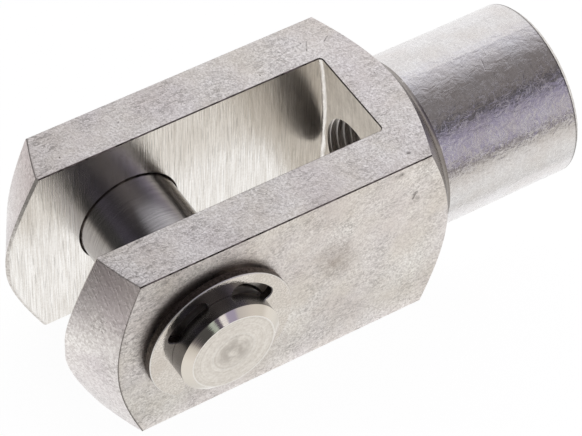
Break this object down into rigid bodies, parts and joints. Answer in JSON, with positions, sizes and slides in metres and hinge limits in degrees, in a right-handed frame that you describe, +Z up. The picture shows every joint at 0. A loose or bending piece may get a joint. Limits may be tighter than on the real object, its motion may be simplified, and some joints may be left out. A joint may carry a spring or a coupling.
{
  "type": "rod clevis",
  "caption": "Machined fork head with a threaded neck, a clevis pin across its ears and two open retaining rings that keep the pin in.",
  "frame": {"origin": "where the pin's axis crosses the main axis of the fork", "axes": "+X along the main axis to the threaded neck, Y along the clevis pin, +Z up, with the fork lying on its -Z side"},
  "size_m": [0.1057, 0.0524, 0.04],
  "materials": {
    "machined_fork": "milled and turned stainless steel, matt",
    "ground_pin": "ground stainless steel, satin, with turned ends",
    "spring_ring": "punched spring steel, tumbled"
  },
  "bodies": {
    "fork": {"fork_head": "machined_fork"},
    "rear_ring": {"rear_clip": "spring_ring"},
    "pin": {"clevis_pin": "ground_pin"},
    "front_ring": {"front_clip": "spring_ring"}
  },
  "joints": [
    {"name": "pin_end_play", "type": "slide", "parent": "fork", "child": "rear_ring", "axis": [0, 1, 0], "range_m": [-0.00055, 0.00055]},
    {"name": "pin_spin", "type": "hinge", "parent": "rear_ring", "child": "pin", "pos_m": [0, 0, 0], "axis": [0, 1, 0], "continuous": true},
    {"name": "front_ring_spin", "type": "hinge", "parent": "pin", "child": "front_ring", "pos_m": [0, -0.0213, 0], "axis": [0, 1, 0], "continuous": true}
  ]
}
